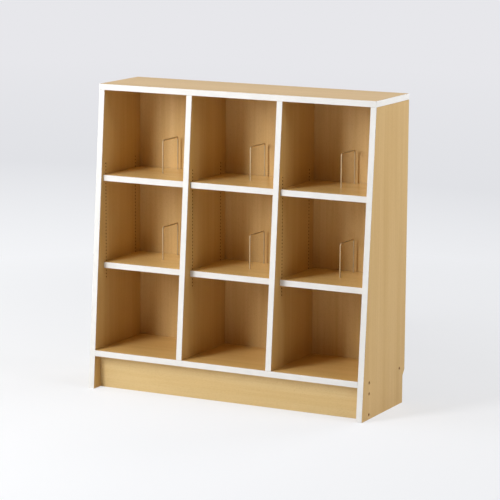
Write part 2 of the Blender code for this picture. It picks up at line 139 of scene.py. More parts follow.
class NodeBench:
    """Adds and links the nodes of one shader tree."""

    def __init__(self, tree: bpy.types.NodeTree) -> None:
        """Keep the tree to work on."""
        self.tree = tree

    def add(self, kind: str, **settings: object) -> bpy.types.Node:
        """Add a node.

        Args:
            kind: Blender's name of the node type.
            settings: Properties of the node to set.

        Returns:
            The new node.
        """
        node = self.tree.nodes.new(kind)
        for name, value in settings.items():
            setattr(node, name, value)
        return node

    def feed(self, socket: bpy.types.NodeSocket, source: Source) -> None:
        """Link an output into a socket, or set the socket itself to a constant.

        Args:
            socket: The input to feed.
            source: Another node's output, a number, a vector or a colour.
        """
        if isinstance(source, bpy.types.NodeSocket):
            self.tree.links.new(source, socket)
        elif isinstance(source, tuple) and socket.type == "RGBA":
            socket.default_value = (*source, 1.0)
        else:
            socket.default_value = source

    def math(self, operation: str, first: Source, second: Source = 0.0) -> bpy.types.NodeSocket:
        """Work out one sum of two numbers.

        Args:
            operation: Blender's name of the sum.
            first: Its first number.
            second: Its second number.

        Returns:
            The output with the answer.
        """
        node = self.add("ShaderNodeMath", operation=operation)
        self.feed(node.inputs[0], first)
        self.feed(node.inputs[1], second)
        return node.outputs[0]

    def weigh(self, *parts: tuple[Source, float]) -> bpy.types.NodeSocket:
        """Add up values that have a weight each.

        Args:
            parts: Pairs of a value and its weight.

        Returns:
            The output with the sum.
        """
        weighted = [self.math("MULTIPLY", value, weight) for value, weight in parts]
        total = weighted[0]
        for part in weighted[1:]:
            total = self.math("ADD", total, part)
        return total

    def remap(
        self, value: Source, low: float, high: float, to_low: float = 0.0, to_high: float = 1.0,
    ) -> bpy.types.NodeSocket:
        """Spread a range of values over another one, held at its ends.

        Args:
            value: The value to spread.
            low: Start of its range.
            high: End of its range.
            to_low: What the start becomes.
            to_high: What the end becomes.

        Returns:
            The output with the new value.
        """
        node = self.add("ShaderNodeMapRange", clamp=True)
        for socket, source in zip(node.inputs, (value, low, high, to_low, to_high)):
            self.feed(socket, source)
        return node.outputs[0]

    def stretch(self, vector: Source, scale: Triple) -> bpy.types.NodeSocket:
        """Multiply a vector, axis by axis.

        Args:
            vector: The vector to stretch.
            scale: Factor for each axis.

        Returns:
            The output with the stretched vector.
        """
        node = self.add("ShaderNodeVectorMath", operation="MULTIPLY")
        self.feed(node.inputs[0], vector)
        self.feed(node.inputs[1], scale)
        return node.outputs["Vector"]

    def distance(self, vector: Source, point: Triple) -> bpy.types.NodeSocket:
        """Measure how far a place is from a point.

        Args:
            vector: The place.
            point: The point.

        Returns:
            The output with the distance.
        """
        node = self.add("ShaderNodeVectorMath", operation="DISTANCE")
        self.feed(node.inputs[0], vector)
        self.feed(node.inputs[1], point)
        return node.outputs["Value"]

    def noise(self, vector: Source, detail: float, distortion: float = 0.0) -> bpy.types.NodeSocket:
        """Add noise with cells about one unit wide.

        Args:
            vector: Where to read the noise.
            detail: How many finer layers it has.
            distortion: How far it is swirled.

        Returns:
            The output with a value from 0 to 1.
        """
        node = self.add("ShaderNodeTexNoise")
        self.feed(node.inputs["Vector"], vector)
        self.feed(node.inputs["Scale"], 1.0)
        self.feed(node.inputs["Detail"], detail)
        self.feed(node.inputs["Distortion"], distortion)
        return node.outputs["Fac"]

    def mix(self, factor: Source, first: Source, second: Source) -> bpy.types.NodeSocket:
        """Mix two colours.

        Args:
            factor: Share of the second colour.
            first: The first colour.
            second: The second colour.

        Returns:
            The output with the mixed colour.
        """
        node = self.add("ShaderNodeMix", data_type="RGBA")
        colours = [socket for socket in node.inputs if socket.type == "RGBA"]
        self.feed(node.inputs["Factor"], factor)
        self.feed(colours[0], first)
        self.feed(colours[1], second)
        return next(socket for socket in node.outputs if socket.type == "RGBA")

    def mix_values(self, factor: Source, first: Source, second: Source) -> bpy.types.NodeSocket:
        """Mix two numbers.

        Args:
            factor: Share of the second number.
            first: The first number.
            second: The second number.

        Returns:
            The output with the mixed number.
        """
        node = self.add("ShaderNodeMix", data_type="FLOAT")
        values = [socket for socket in node.inputs if socket.type == "VALUE"]
        for socket, source in zip(values, (factor, first, second)):
            self.feed(socket, source)
        return node.outputs[0]

    def place(self, group: bpy.types.NodeTree, **inputs: Source) -> bpy.types.Node:
        """Place a node group and feed its inputs.

        Args:
            group: The group's tree.
            inputs: Sources by input name, with _ for a space.

        Returns:
            The group's node.
        """
        node = self.add("ShaderNodeGroup")
        node.node_tree = group
        for name, source in inputs.items():
            self.feed(node.inputs[name.replace("_", " ")], source)
        return node


class Effect:
    """A surface effect that several finishes share, as one shader node group."""

    title: str = ""
    takes: dict[str, str] = {}
    gives: dict[str, str] = {}

    def group(self) -> bpy.types.NodeTree:
        """Build the effect's group at its first use.

        Returns:
            The group's tree.
        """
        known = bpy.data.node_groups.get(self.title)
        if known is not None:
            return known
        tree = bpy.data.node_groups.new(self.title, "ShaderNodeTree")
        for name, kind in self.takes.items():
            tree.interface.new_socket(name=name, in_out="INPUT", socket_type=kind)
        for name, kind in self.gives.items():
            tree.interface.new_socket(name=name, in_out="OUTPUT", socket_type=kind)
        bench = NodeBench(tree)
        start = bench.add("NodeGroupInput")
        end = bench.add("NodeGroupOutput")
        for name, source in self.wire(bench, start).items():
            bench.feed(end.inputs[name], source)
        return tree

    def wire(self, bench: NodeBench, start: bpy.types.Node) -> dict[str, Source]:
        """Build the inside of the group.

        Args:
            bench: The group's tree to work on.
            start: The node with the group's inputs.

        Returns:
            What feeds each output.
        """
        raise NotImplementedError


class StraightGrain(Effect):
    """Printed straight-grained wood, its grain along the third axis of the vector it reads."""

    title = "straight_grain"
    takes = {
        "Vector": "NodeSocketVector",
        "Light": "NodeSocketColor",
        "Dark": "NodeSocketColor",
        "Fleck": "NodeSocketColor",
        "Roughness": "NodeSocketFloat",
    }
    gives = {"Color": "NodeSocketColor", "Roughness": "NodeSocketFloat", "Height": "NodeSocketFloat"}
    band_scale = (24.0, 24.0, 0.8)
    band_detail = 1.0
    figure_scale = (110.0, 110.0, 2.4)
    figure_detail = 2.0
    figure_swirl = 0.4
    fibre_scale = (850.0, 850.0, 9.0)
    fibre_detail = 2.0
    fibre_middle = 0.5
    fleck_scale = (1500.0, 1500.0, 160.0)
    fleck_detail = 0.0
    fleck_start = 0.62
    fleck_full = 0.74
    fleck_share = 0.30
    band_share = 0.45
    figure_share = 0.33
    fibre_share = 0.22
    tone_low = 0.36
    tone_high = 0.64
    roughness_swing = 0.10
    relief = 0.5

    def wire(self, bench: NodeBench, start: bpy.types.Node) -> dict[str, Source]:
        """Lay bands, figure, fibres and flecks over each other.

        Args:
            bench: The group's tree to work on.
            start: The node with the group's inputs.

        Returns:
            The wood's colour, roughness and height.
        """
        vector = start.outputs["Vector"]
        band = bench.noise(bench.stretch(vector, self.band_scale), self.band_detail)
        figure_place = bench.stretch(vector, self.figure_scale)
        figure = bench.noise(figure_place, self.figure_detail, self.figure_swirl)
        fibre = bench.noise(bench.stretch(vector, self.fibre_scale), self.fibre_detail)
        fleck_noise = bench.noise(bench.stretch(vector, self.fleck_scale), self.fleck_detail)
        fleck = bench.remap(fleck_noise, self.fleck_start, self.fleck_full)
        tone = bench.weigh((band, self.band_share), (figure, self.figure_share), (fibre, self.fibre_share))
        spread = bench.remap(tone, self.tone_low, self.tone_high)
        wood = bench.mix(spread, start.outputs["Dark"], start.outputs["Light"])
        flecked = bench.mix(bench.math("MULTIPLY", fleck, self.fleck_share), wood, start.outputs["Fleck"])
        swing = bench.math("MULTIPLY", bench.math("SUBTRACT", fibre, self.fibre_middle), self.roughness_swing)
        roughness = bench.math("ADD", start.outputs["Roughness"], swing)
        height = bench.weigh((fibre, self.relief), (fleck, -self.relief))
        return {"Color": flecked, "Roughness": roughness, "Height": height}


class PressedChips(Effect):
    """Bare pressed wood, as it shows on sawn edges, in bored holes and on unprinted rears."""

    title = "pressed_chips"
    takes = {
        "Vector": "NodeSocketVector",
        "Light": "NodeSocketColor",
        "Dark": "NodeSocketColor",
    }
    gives = {"Color": "NodeSocketColor", "Height": "NodeSocketFloat"}
    chips_per_metre = 650.0
    chip_share = 0.65
    dust_scale = (1800.0, 1800.0, 1800.0)
    dust_detail = 2.0
    dust_share = 0.35

    def wire(self, bench: NodeBench, start: bpy.types.Node) -> dict[str, Source]:
        """Give every chip its own tone, with sawdust between.

        Args:
            bench: The group's tree to work on.
            start: The node with the group's inputs.

        Returns:
            The bare wood's colour and height.
        """
        chips = bench.add("ShaderNodeTexVoronoi", feature="F1")
        bench.feed(chips.inputs["Vector"], start.outputs["Vector"])
        bench.feed(chips.inputs["Scale"], self.chips_per_metre)
        tone = bench.add("ShaderNodeSeparateColor")
        bench.feed(tone.inputs[0], chips.outputs["Color"])
        dust_place = bench.stretch(start.outputs["Vector"], self.dust_scale)
        dust = bench.noise(dust_place, self.dust_detail)
        share = bench.weigh((tone.outputs[0], self.chip_share), (dust, self.dust_share))
        colour = bench.mix(share, start.outputs["Dark"], start.outputs["Light"])
        return {"Color": colour, "Height": share}


class FineMottle(Effect):
    """A fine mottle that breaks up a smooth coated, moulded or drawn surface."""

    title = "fine_mottle"
    takes = {
        "Vector": "NodeSocketVector",
        "Colour A": "NodeSocketColor",
        "Colour B": "NodeSocketColor",
        "Smooth": "NodeSocketFloat",
        "Rough": "NodeSocketFloat",
    }
    gives = {"Color": "NodeSocketColor", "Roughness": "NodeSocketFloat", "Height": "NodeSocketFloat"}
    cloud_scale = (30.0, 30.0, 30.0)
    cloud_detail = 2.0
    cloud_share = 0.6
    grit_scale = (1400.0, 1400.0, 1400.0)
    grit_detail = 1.0
    grit_share = 0.4
    low = 0.35
    high = 0.65

    def wire(self, bench: NodeBench, start: bpy.types.Node) -> dict[str, Source]:
        """Lay fine grit over slow clouds.

        Args:
            bench: The group's tree to work on.
            start: The node with the group's inputs.

        Returns:
            The mottled colour, roughness and height.
        """
        vector = start.outputs["Vector"]
        cloud_noise = bench.noise(bench.stretch(vector, self.cloud_scale), self.cloud_detail)
        grit_noise = bench.noise(bench.stretch(vector, self.grit_scale), self.grit_detail)
        cloud = bench.remap(cloud_noise, self.low, self.high)
        grit = bench.remap(grit_noise, self.low, self.high)
        share = bench.weigh((cloud, self.cloud_share), (grit, self.grit_share))
        colour = bench.mix(share, start.outputs["Colour A"], start.outputs["Colour B"])
        span = bench.math("SUBTRACT", start.outputs["Rough"], start.outputs["Smooth"])
        roughness = bench.math("ADD", start.outputs["Smooth"], bench.math("MULTIPLY", span, share))
        return {"Color": colour, "Roughness": roughness, "Height": grit}


class Finish:
    """A finish that becomes one procedural material."""

    name: str

    def material(self) -> bpy.types.Material:
        """Make the finish's material at its first use.

        Returns:
            The material.
        """
        known = bpy.data.materials.get(self.name)
        if known is not None:
            return known
        made = bpy.data.materials.new(self.name)
        made.use_nodes = True
        made.node_tree.nodes.clear()
        bench = NodeBench(made.node_tree)
        output = bench.add("ShaderNodeOutputMaterial")
        bench.feed(output.inputs["Surface"], self.shade(bench))
        return made

    def shade(self, bench: NodeBench) -> bpy.types.NodeSocket:
        """Build the finish's nodes.

        Args:
            bench: The material's tree to work on.

        Returns:
            The shader output.
        """
        raise NotImplementedError


def place_of(bench: NodeBench) -> bpy.types.NodeSocket:
    """Return the output with a point's place in its piece."""
    return bench.add("ShaderNodeTexCoord").outputs["Object"]


def bump(bench: NodeBench, height: Source, depth: float, strength: float) -> bpy.types.NodeSocket:
    """Turn a height into a bumped normal.

    Args:
        bench: The material's tree to work on.
        height: Height from 0 to 1.
        depth: How deep a height of 1 is, in metres.
        strength: How much of it shows.

    Returns:
        The output with the normal.
    """
    node = bench.add("ShaderNodeBump")
    bench.feed(node.inputs["Strength"], strength)
    bench.feed(node.inputs["Distance"], depth)
    bench.feed(node.inputs["Height"], height)
    return node.outputs["Normal"]


def surface(
    bench: NodeBench, colour: Source, roughness: Source, normal: Source, specular: float,
    metallic: float = 0.0,
) -> bpy.types.NodeSocket:
    """Build the shader of a finish on a piece.

    Args:
        bench: The material's tree to work on.
        colour: Its colour.
        roughness: Its roughness.
        normal: Its bumped normal.
        specular: How strongly it mirrors, with 0.5 for common plastics.
        metallic: 1 for bare metal and 0 for none.

    Returns:
        The shader output.
    """
    shader = bench.add("ShaderNodeBsdfPrincipled")
    bench.feed(shader.inputs["Base Color"], colour)
    bench.feed(shader.inputs["Roughness"], roughness)
    bench.feed(shader.inputs["Normal"], normal)
    bench.feed(shader.inputs["Specular IOR Level"], specular)
    bench.feed(shader.inputs["Metallic"], metallic)
    return shader.outputs[0]


@dataclass(frozen=True)
class BoardFinish(Finish):
    """A board with printed wood on its faces and a bare core on its sawn edges."""

    name: str
    grain: Axis
    faces: Axis
    roughness: float
    light: Colour = display(229, 196, 138)
    dark: Colour = display(217, 181, 119)
    fleck: Colour = display(176, 135, 78)
    core_light: Colour = display(196, 168, 122)
    core_dark: Colour = display(138, 104, 64)
    core_roughness: float = 0.85
    specular: float = 0.28
    grain_depth: float = 0.00012
    grain_strength: float = 0.25
    print_facing: float = 0.6
    bare_rear: bool = False

    def core_mask(self, bench: NodeBench) -> bpy.types.NodeSocket:
        """Mask the surfaces that carry no print.

        Args:
            bench: The material's tree to work on.

        Returns:
            The output that is 1 on sawn edges, and on the rear of a one-sided board.
        """
        normal = bench.add("ShaderNodeSeparateXYZ")
        bench.feed(normal.inputs[0], bench.add("ShaderNodeTexCoord").outputs["Normal"])
        facing = normal.outputs[self.faces.value]
        if self.bare_rear:
            return bench.math("GREATER_THAN", facing, -self.print_facing)
        return bench.math("LESS_THAN", bench.math("ABSOLUTE", facing), self.print_facing)

    def shade(self, bench: NodeBench) -> bpy.types.NodeSocket:
        """Build print and core, and choose between them by where a surface looks.

        Args:
            bench: The material's tree to work on.

        Returns:
            The shader output.
        """
        place = place_of(bench)
        parts = bench.add("ShaderNodeSeparateXYZ")
        bench.feed(parts.inputs[0], place)
        turned_place = bench.add("ShaderNodeCombineXYZ")
        for step, socket in enumerate(turned_place.inputs, start=1):
            bench.feed(socket, parts.outputs[(self.grain.value + step) % len(Axis)])
        wood = bench.place(
            StraightGrain().group(), Vector=turned_place.outputs[0], Light=self.light, Dark=self.dark,
            Fleck=self.fleck, Roughness=self.roughness,
        )
        chips = bench.place(PressedChips().group(), Vector=place, Light=self.core_light, Dark=self.core_dark)
        mask = self.core_mask(bench)
        colour = bench.mix(mask, wood.outputs["Color"], chips.outputs["Color"])
        roughness = bench.mix_values(mask, wood.outputs["Roughness"], self.core_roughness)
        height = bench.mix_values(mask, wood.outputs["Height"], chips.outputs["Height"])
        normal = bump(bench, height, self.grain_depth, self.grain_strength)
        return surface(bench, colour, roughness, normal, self.specular)


@dataclass(frozen=True)
class CoatedFinish(Finish):
    """A smooth edging or metal with a fine mottle."""

    name: str
    colour: Colour
    second: Colour
    smooth: float
    rough: float
    metallic: float = 0.0
    specular: float = 0.5
    grit_depth: float = 0.00003
    grit_strength: float = 0.15

    def shade(self, bench: NodeBench) -> bpy.types.NodeSocket:
        """Build the mottled surface.

        Args:
            bench: The material's tree to work on.

        Returns:
            The shader output.
        """
        mottle = bench.place(
            FineMottle().group(), Vector=place_of(bench), Colour_A=self.colour, Colour_B=self.second,
            Smooth=self.smooth, Rough=self.rough,
        )
        colour, roughness, height = mottle.outputs
        normal = bump(bench, height, self.grit_depth, self.grit_strength)
        return surface(bench, colour, roughness, normal, self.specular, self.metallic)


@dataclass(frozen=True)
class BoredCore(Finish):
    """Bare chipboard inside a hole, its colours darkened as painted shade for the shade deep in the hole."""

    name: str
    light: Colour
    dark: Colour
    roughness: float = 0.9
    specular: float = 0.2
    chip_depth: float = 0.0002
    chip_strength: float = 0.3

    def shade(self, bench: NodeBench) -> bpy.types.NodeSocket:
        """Build the torn chips.

        Args:
            bench: The material's tree to work on.

        Returns:
            The shader output.
        """
        chips = bench.place(PressedChips().group(), Vector=place_of(bench), Light=self.light, Dark=self.dark)
        normal = bump(bench, chips.outputs["Height"], self.chip_depth, self.chip_strength)
        return surface(bench, chips.outputs["Color"], self.roughness, normal, self.specular)


UPRIGHT_LAMINATE = BoardFinish(
    "laminate_upright", grain=Axis.Z, faces=Axis.X, roughness=0.42, light=display(208, 174, 115),
    dark=display(197, 159, 96),
)
# Painted shade: the chipboard in the pin holes gets colours far darker than the sawn core, standing for the
# shade deep in each hole.
SHADED_PIN_HOLES = BoredCore("painted_shade_pin_holes", light=display(128, 92, 52), dark=display(84, 56, 30))
LEVEL_LAMINATE = BoardFinish(
    "laminate_level", grain=Axis.X, faces=Axis.Z, roughness=0.34, specular=0.16,
    light=display(226, 187, 121), dark=display(213, 173, 103),
)
# Painted light: the shelves share the laminate of the other boards but get a lighter copy of its colours,
# standing for the light and sheen on their tops.
LIT_SHELF_LAMINATE = BoardFinish(
    "laminate_shelf_painted_light", grain=Axis.X, faces=Axis.Z, roughness=0.14, specular=0.24,
    light=display(248, 214, 147), dark=display(235, 198, 125),
)
# Painted light: the kick plate gets a lighter copy of the laminate's colours, standing for the front light
# that falls on it.
LIT_KICK_LAMINATE = BoardFinish(
    "laminate_kick_painted_light", grain=Axis.X, faces=Axis.Y, roughness=0.42, light=display(226, 199, 144),
    dark=display(216, 185, 127),
)
PRINTED_BACK = BoardFinish(
    "printed_back", grain=Axis.Z, faces=Axis.Y, roughness=0.46, core_light=display(150, 112, 70),
    core_dark=display(118, 82, 46), bare_rear=True,
)
WHITE_EDGING = CoatedFinish(
    "white_edge_band", display(239, 237, 233), display(234, 232, 228), smooth=0.38, rough=0.46,
)
# Partly painted reflection: the plated steel wire gets a darkened tan tint, standing for the warm wood it
# mirrors.
PLATED_WIRE = CoatedFinish(
    "plated_wire", display(208, 192, 160), display(196, 180, 148), smooth=0.56, rough=0.66, metallic=1.0,
)
TURNED_STEEL = CoatedFinish(
    "turned_steel", display(205, 205, 207), display(188, 188, 192), smooth=0.24, rough=0.36, metallic=1.0,
)
BRONZED_STEEL = CoatedFinish(
    "bronzed_steel", display(172, 122, 62), display(146, 100, 50), smooth=0.34, rough=0.50, metallic=0.5,
)


def finish_piece(piece: bpy.types.Object, finish: Finish, body: str, node: str) -> None:
    """Dress a new piece, let it ride on its body and stand for its node.

    Args:
        piece: The new piece, in place.
        finish: Its finish, where its mesh has none yet.
        body: The body that carries it.
        node: The solid that it stands for.
    """
    if not piece.data.materials:
        piece.data.materials.append(finish.material())
    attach(piece, body)
    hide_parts(node)
    LOG.info("%s stands for %s on %s", piece.name, node, body)


def coat(node: str, finish: Finish) -> None:
    """Give a solid that stays its finish.

    Args:
        node: The solid's name.
        finish: Its finish.
    """
    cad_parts[node].data.materials.clear()
    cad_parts[node].data.materials.append(finish.material())
    LOG.info("%s is finished as %s", node, finish.name)


def smooth_mesh(bm: bmesh.types.BMesh, name: str, sharp_degrees: float = 35.0) -> bpy.types.Mesh:
    """Turn a finished shape into a mesh that is smooth but for its sharp edges.

    Args:
        bm: The shape, which is freed.
        name: The mesh's name.
        sharp_degrees: The angle from which an edge stays sharp.

    Returns:
        The mesh.
    """
    bmesh.ops.recalc_face_normals(bm, faces=bm.faces)
    mesh = bpy.data.meshes.new(name)
    bm.to_mesh(mesh)
    bm.free()
    stale_normals = mesh.attributes.get("custom_normal")
    if stale_normals is not None:
        mesh.attributes.remove(stale_normals)
    mesh.polygons.foreach_set("use_smooth", [True] * len(mesh.polygons))
    mesh.set_sharp_from_angle(angle=math.radians(sharp_degrees))
    return mesh


def place_mesh(mesh: bpy.types.Mesh, name: str, matrix: Matrix = Matrix()) -> bpy.types.Object:
    """Add an object with a mesh to the scene.

    Args:
        mesh: The mesh, which may be shared.
        name: The object's name.
        matrix: Where it stands.

    Returns:
        The object.
    """
    piece = bpy.data.objects.new(name, mesh)
    bpy.context.scene.collection.objects.link(piece)
    piece.matrix_world = matrix
    return piece


def skin(bm: bmesh.types.BMesh, rings: list[Ring]) -> None:
    """Skin a row of rings into a tube and close its ends.

    Args:
        bm: The shape to add to.
        rings: Rings with as many points each, in order along the tube.
    """
    rows = [[bm.verts.new(point) for point in ring] for ring in rings]
    for row, following in zip(rows, rows[1:]):
        for side in range(len(row)):
            bm.faces.new((row[side - 1], row[side], following[side], following[side - 1]))
    bm.faces.new(rows[0])
    bm.faces.new(rows[-1])


def turned_rings(profile: Profile, sides: int) -> list[Ring]:
    """Turn a profile about Z.

    Args:
        profile: Pairs of radius and height, along the profile.
        sides: Points of each ring.

    Returns:
        A ring for each point of the profile.
    """
    turns = [math.tau * side / sides for side in range(sides)]
    return [
        [Vector((radius * math.cos(turn), radius * math.sin(turn), height)) for turn in turns]
        for radius, height in profile
    ]


def rounded_end(radius: float, end: float, rounding: float, outward: int, steps: int = 4) -> Profile:
    """Return the profile of a rod's rounded end, from its flat to its side.

    Args:
        radius: The rod's radius.
        end: Height of the flat.
        rounding: Radius of the rounding.
        outward: 1 for an upper end and -1 for a lower one.
        steps: Steps of the rounding.

    Returns:
        Pairs of radius and height.
    """
    bends = [math.pi / 2 * step / steps for step in range(steps + 1)]
    flat = radius - rounding
    return [
        (flat + rounding * math.sin(bend), end - outward * rounding * (1 - math.cos(bend)))
        for bend in bends
    ]


def along_x(place: Vector, outward: int = 1) -> Matrix:
    """Lay a shape that was turned about Z along X.

    Args:
        place: Where its origin goes.
        outward: 1 where its upper end looks right, and -1 where it looks left.

    Returns:
        Where it stands.
    """
    return Matrix.Translation(place) @ Matrix.Rotation(outward * math.pi / 2, 4, "Y")


def pin_node(upright: str, level: Level, column: Column) -> str:
    """Return the name of a pin's solid."""
    return f"pin_{upright}_{level.value}_{column.value}"


@dataclass
class Upright:
    """A raked side or divider, with round holes where its solid has few-sided ones.

    A column of holes starts rows_below under its lower pin and ends rows_above over its upper one. The walls
    of the solid's own holes lie within solid_reach of their axes.
    """

    name: str
    hole_diameter: float = 0.0044
    hole_sides: int = 24
    solid_reach: float = 0.0028
    solid_sides: int = 6
    hole_spare: float = 0.0008
    pitch: float = 0.010
    rows_below: int = 3
    rows_above: int = 5
    weld: float = 1e-6

    def hole_rods(self) -> Iterator[tuple[Vector, float]]:
        """Find where every pin hole is bored.

        Yields:
            The middle and the length of a rod for each hole.
        """
        for column in Column:
            low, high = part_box(pin_node(self.name, Level.LOWER, column))
            bottom = (low + high) / 2
            top_low, top_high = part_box(pin_node(self.name, Level.UPPER, column))
            rise = (top_low + top_high).z / 2 - bottom.z
            rows = range(-self.rows_below, round(rise / self.pitch) + self.rows_above + 1)
            for row in rows:
                yield bottom + Vector((0, 0, row * self.pitch)), high.x - low.x + 2 * self.hole_spare

    def lines(self, face: bmesh.types.BMFace, axis: Vector) -> bool:
        """Say whether a face of the solid lines the hole along an axis."""
        return all((corner.co.yz - axis).length < self.solid_reach for corner in face.verts)

    def plug(self, bm: bmesh.types.BMesh) -> None:
        """Close the few-sided holes of the copied solid, so that round ones can take their place.

        Args:
            bm: The copied solid.
        """
        axes = [middle.yz for middle, _ in self.hole_rods()]
        walls = [face for face in bm.faces if any(self.lines(face, axis) for axis in axes)]
        bmesh.ops.delete(bm, geom=walls, context="FACES")
        rims = [edge for edge in bm.edges if edge.is_boundary]
        bmesh.ops.holes_fill(bm, edges=rims, sides=self.solid_sides)

    def bore(self) -> bpy.types.Object:
        """Build the rods that bore the holes round.

        Returns:
            The rods, as one scratch object.
        """
        bm = bmesh.new()
        for middle, length in self.hole_rods():
            matrix = along_x(middle)
            ends = [(self.hole_diameter / 2, -length / 2), (self.hole_diameter / 2, length / 2)]
            rings = turned_rings(ends, self.hole_sides)
            skin(bm, [[matrix @ point for point in ring] for ring in rings])
        return place_mesh(smooth_mesh(bm, f"{self.name}_bore"), f"{self.name}_bore")

    def build(self) -> bpy.types.Object:
        """Build the board with its round holes.

        Returns:
            The board, as a piece of its own.
        """
        bm = bmesh.new()
        bm.from_mesh(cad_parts[self.name].data)
        bmesh.ops.remove_doubles(bm, verts=bm.verts, dist=self.weld)
        self.plug(bm)
        board = place_mesh(smooth_mesh(bm, f"{self.name}_solid"), f"{self.name}_board")
        board.data.materials.append(UPRIGHT_LAMINATE.material())
        cutter = self.bore()
        # The bored walls take the pin holes' finish, whose dark colours are painted shade.
        cutter.data.materials.append(SHADED_PIN_HOLES.material())
        cut = board.modifiers.new("pin_holes", "BOOLEAN")
        cut.operation = "DIFFERENCE"
        cut.solver = "EXACT"
        cut.material_mode = "TRANSFER"
        cut.object = cutter
        evaluated = board.evaluated_get(bpy.context.evaluated_depsgraph_get())
        shaped = bpy.data.meshes.new_from_object(evaluated)
        board.modifiers.clear()
        bpy.data.objects.remove(cutter)
        clean = bmesh.new()
        clean.from_mesh(shaped)
        board.data = smooth_mesh(clean, f"{self.name}_board")
        for material in shaped.materials:
            board.data.materials.append(material)
        return board

    def dress(self) -> None:
        """Build the board and put it in the place of its solid."""
        finish_piece(self.build(), UPRIGHT_LAMINATE, "carcass", self.name)


@dataclass
class Bookend:
    """A bent wire that stands in two holes of its shelf."""

    label: str
    wire_diameter: float = 0.004
    bend: float = 0.007
    bend_steps: int = 12
    sides: int = 20

    def path(self) -> Profile:
        """Lay out the middle of the wire, from foot to foot.

        Returns:
            Pairs of y and z along the wire.
        """
        low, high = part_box(f"bookend_{self.label}")
        radius = self.wire_diameter / 2
        middle = (low.y + high.y) / 2
        half = (high.y - low.y) / 2 - radius
        top = high.z - radius
        turns = [math.pi / 2 * step / self.bend_steps for step in range(self.bend_steps + 1)]
        corner = [
            (half - self.bend * (1 - math.cos(turn)), top - self.bend * (1 - math.sin(turn)))
            for turn in turns
        ]
        rear = [(half, low.z), *corner]
        return [(middle + y, z) for y, z in rear] + [(middle - y, z) for y, z in reversed(rear)]

    def build(self) -> bpy.types.Object:
        """Build the wire as a tube along its path.

        Returns:
            The wire, as a piece of its own.
        """
        low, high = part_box(f"bookend_{self.label}")
        points = [Vector(((low.x + high.x) / 2, y, z)) for y, z in self.path()]
        across = Vector((1, 0, 0))
        radius = self.wire_diameter / 2
        turns = [math.tau * side / self.sides for side in range(self.sides)]
        rings = []
        for place, point in enumerate(points):
            before = points[max(place - 1, 0)]
            after = points[min(place + 1, len(points) - 1)]
            outward = (after - before).normalized().cross(across)
            spokes = [math.cos(turn) * across + math.sin(turn) * outward for turn in turns]
            rings.append([point + radius * spoke for spoke in spokes])
        bm = bmesh.new()
        skin(bm, rings)
        return place_mesh(smooth_mesh(bm, f"bookend_wire_{self.label}"), f"bookend_wire_{self.label}")

    def dress(self) -> None:
        """Build the wire and put it in the place of its solid."""
        body = f"{self.label}_bookend"
        finish_piece(self.build(), PLATED_WIRE, body, f"bookend_{self.label}")


@dataclass
class ShelfPin:
    """A turned steel pin that carries the corner of a shelf, or of two."""

    upright: str
    level: Level
    column: Column
    diameter: float = 0.004
    rounding: float = 0.0006
    sides: int = 24

    def dress(self) -> None:
        """Turn the pin and put it in the place of its solid."""
        node = pin_node(self.upright, self.level, self.column)
        low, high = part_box(node)
        half = (high.x - low.x) / 2
        lower = rounded_end(self.diameter / 2, -half, self.rounding, -1)
        upper = rounded_end(self.diameter / 2, half, self.rounding, 1)
        bm = bmesh.new()
        skin(bm, turned_rings(lower + upper[::-1], self.sides))
        piece = place_mesh(smooth_mesh(bm, f"turned_{node}"), f"turned_{node}", along_x((low + high) / 2))
        finish_piece(piece, TURNED_STEEL, "carcass", node)


